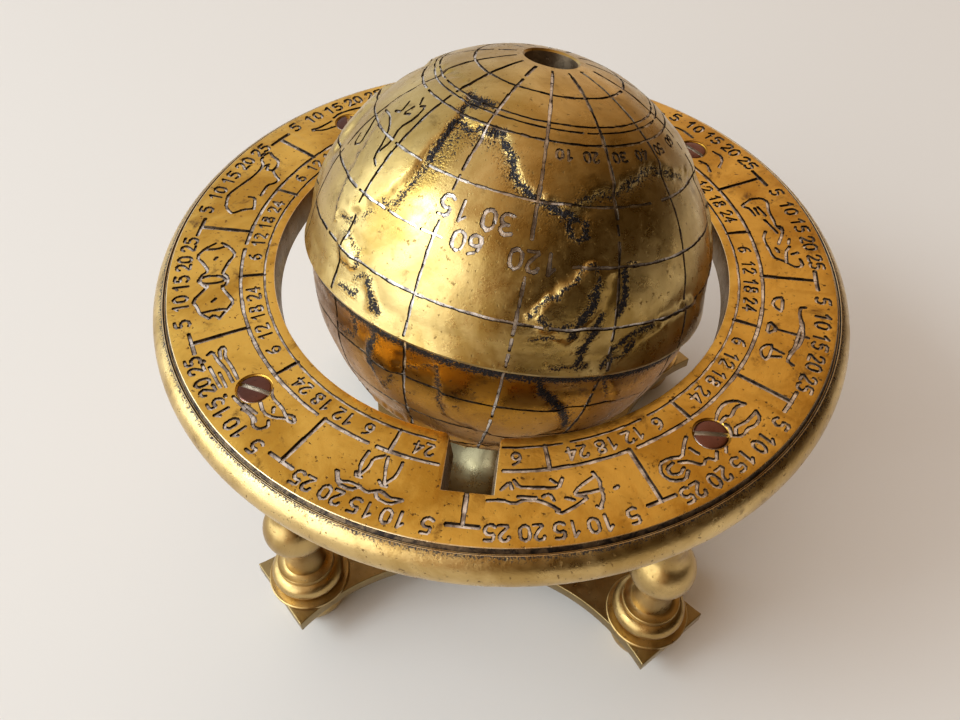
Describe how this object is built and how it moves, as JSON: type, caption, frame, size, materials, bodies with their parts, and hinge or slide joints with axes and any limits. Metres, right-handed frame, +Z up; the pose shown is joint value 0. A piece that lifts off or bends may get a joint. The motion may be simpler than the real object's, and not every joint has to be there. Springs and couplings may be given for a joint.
{
  "type": "desktop globe on stand",
  "caption": "Engraved brass desk globe that spins on a tilted polar pin inside a notched horizon ring on a footed baluster stand; its upper half lifts off.",
  "frame": {"origin": "on the floor under the middle of the horizon ring", "axes": "+Z up; -Y is the front, where the notch in the horizon ring opens; the legs stand on the diagonals"},
  "size_m": [0.172, 0.172, 0.151],
  "materials": {
    "ring_brass": "aged golden-brown brass, engraved, polished bead",
    "globe_brass": "aged cast brass with worn highlights and dark coast marks",
    "bowl_brass": "darker orange-brown cast brass",
    "stand_brass": "smooth olive-brown turned brass",
    "dark_screw": "dark red-brown slotted heads",
    "plain_steel": "plain steel, hidden"
  },
  "bodies": {
    "stand": {"horizon_ring": "ring_brass", "base_plate": "stand_brass", "pedestal": "stand_brass", "tie_screw": "plain_steel", "tie_washer": "plain_steel", "polar_arm": "stand_brass", "axis_pin": "stand_brass", "pin_nut": "stand_brass", "thrust_washer": "stand_brass", "leg_front_left": "stand_brass", "foot_front_left": "stand_brass", "leg_stud_front_left": "plain_steel", "ring_screw_front_left": "dark_screw", "leg_front_right": "stand_brass", "foot_front_right": "stand_brass", "leg_stud_front_right": "plain_steel", "ring_screw_front_right": "dark_screw", "leg_back_right": "stand_brass", "foot_back_right": "stand_brass", "leg_stud_back_right": "plain_steel", "ring_screw_back_right": "dark_screw", "leg_back_left": "stand_brass", "foot_back_left": "stand_brass", "leg_stud_back_left": "plain_steel", "ring_screw_back_left": "dark_screw"},
    "globe_bowl": {"globe_lower_shell": "bowl_brass", "pole_bush": "stand_brass"},
    "globe_lid": {"globe_upper_shell": "globe_brass"}
  },
  "joints": [
    {"name": "globe_spin", "type": "hinge", "parent": "stand", "child": "globe_bowl", "pos_m": [0.0014, 0, 0.101], "axis": [0.1395, 0.2569, 0.9563], "continuous": true},
    {"name": "lid_lift", "type": "slide", "parent": "globe_bowl", "child": "globe_lid", "axis": [0.1395, 0.2569, 0.9563], "range_m": [0, 0.06]}
  ]
}
